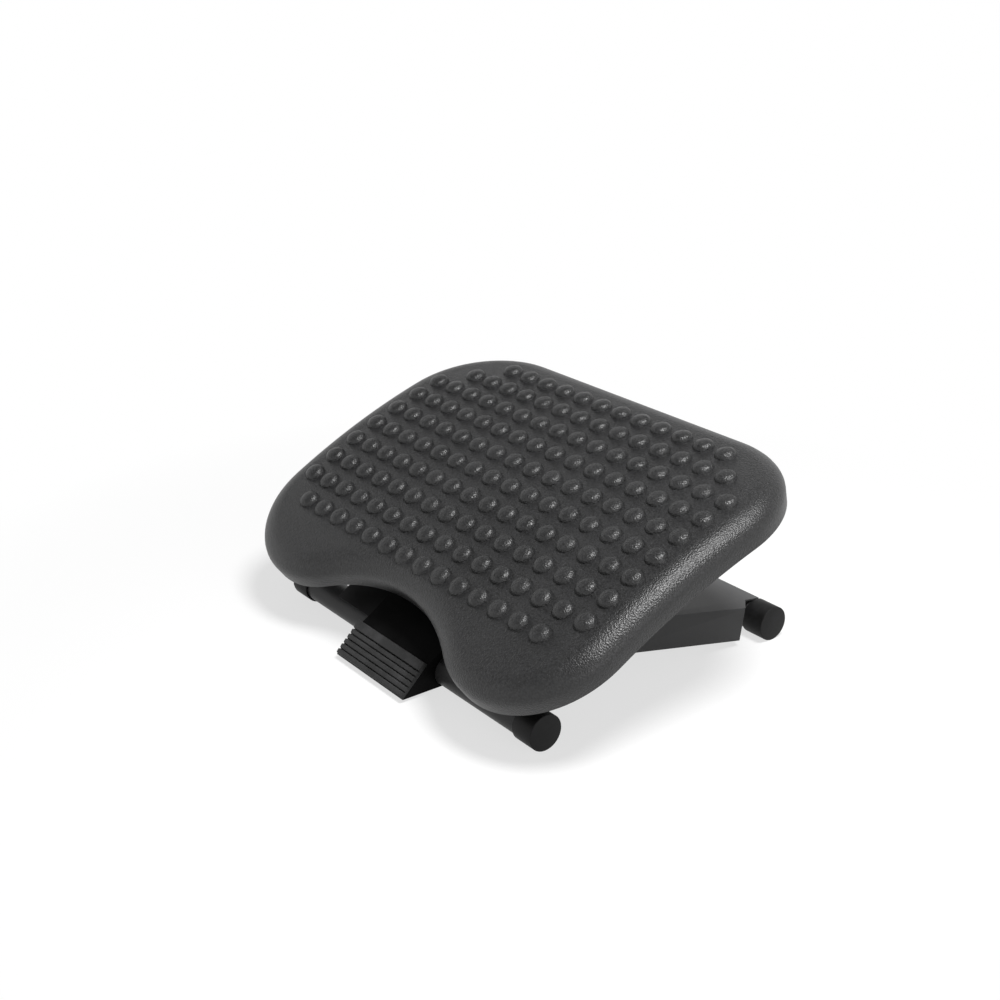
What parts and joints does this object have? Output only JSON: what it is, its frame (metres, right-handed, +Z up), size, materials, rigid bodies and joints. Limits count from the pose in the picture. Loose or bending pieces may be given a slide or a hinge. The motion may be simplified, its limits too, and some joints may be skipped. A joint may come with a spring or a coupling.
{
  "type": "tilting under desk footrest",
  "caption": "Tilting under desk footrest: a studded rocking platform on hinged steel legs, with a foot pedal that frees the height latch.",
  "frame": {"origin": "on the floor below the middle of the overall depth and width", "axes": "+X to the right of a seated user, +Y towards the toe end, +Z up"},
  "size_m": [0.4486, 0.3368, 0.1859],
  "materials": {
    "platform_plastic": "fine pebble grain",
    "pedal_plastic": "fine grain",
    "rubber": "matt",
    "black_paint": "satin",
    "zinc": "zinc plated",
    "nylon": "natural",
    "spring_steel": "drawn wire"
  },
  "bodies": {
    "front_frame": {"front_arm": "black_paint", "front_foot_tube": "black_paint", "front_cap_left": "rubber", "front_cap_right": "rubber", "height_axle": "zinc", "height_washer_left": "nylon", "height_washer_right": "nylon", "height_nut_left": "zinc", "height_nut_right": "zinc", "tilt_bolt": "zinc", "tilt_nut": "zinc", "pedal_spring": "spring_steel"},
    "rear_frame": {"rear_leg": "black_paint", "rear_foot_tube": "black_paint", "rear_cap_left": "rubber", "rear_cap_right": "rubber", "notch_plate_left": "zinc", "notch_plate_right": "zinc", "plate_rivet_left_1": "zinc", "plate_rivet_left_2": "zinc", "plate_rivet_right_1": "zinc", "plate_rivet_right_2": "zinc", "height_bush_left": "nylon", "height_bush_right": "nylon"},
    "platform": {"platform": "platform_plastic", "tilt_bracket": "zinc", "tilt_bush_left": "nylon", "tilt_bush_right": "nylon", "bracket_screw_1": "zinc", "bracket_screw_2": "zinc", "bracket_screw_3": "zinc", "bracket_screw_4": "zinc"},
    "pedal": {"pedal": "pedal_plastic", "pedal_tread": "rubber"},
    "latch": {"lock_bar": "zinc", "lock_spring_left": "spring_steel", "lock_spring_right": "spring_steel"}
  },
  "joints": [
    {"name": "height_hinge", "type": "hinge", "parent": "front_frame", "child": "rear_frame", "pos_m": [0, -0.06799, 0.04946], "axis": [1, 0, 0], "range_deg": [0, 20]},
    {"name": "platform_tilt", "type": "hinge", "parent": "front_frame", "child": "platform", "pos_m": [0, 0.00438, 0.09919], "axis": [1, 0, 0], "range_deg": [-22, 6]},
    {"name": "pedal_rock", "type": "hinge", "parent": "front_frame", "child": "pedal", "pos_m": [0, -0.1176, 0.01537], "axis": [1, 0, 0], "range_deg": [0, 3], "stiffness_Nm_per_rad": 4, "springref_deg": -2.86, "deforming": ["pedal_spring"]},
    {"name": "latch_slide", "type": "slide", "parent": "front_frame", "child": "latch", "axis": [0, -0.9644, -0.2643], "range_m": [0, 0.0021], "deforming": ["lock_spring_left", "lock_spring_right"]}
  ],
  "couplings": [
    {"joint": "latch_slide", "follows": "pedal_rock", "m_per_rad": 0.0401}
  ]
}
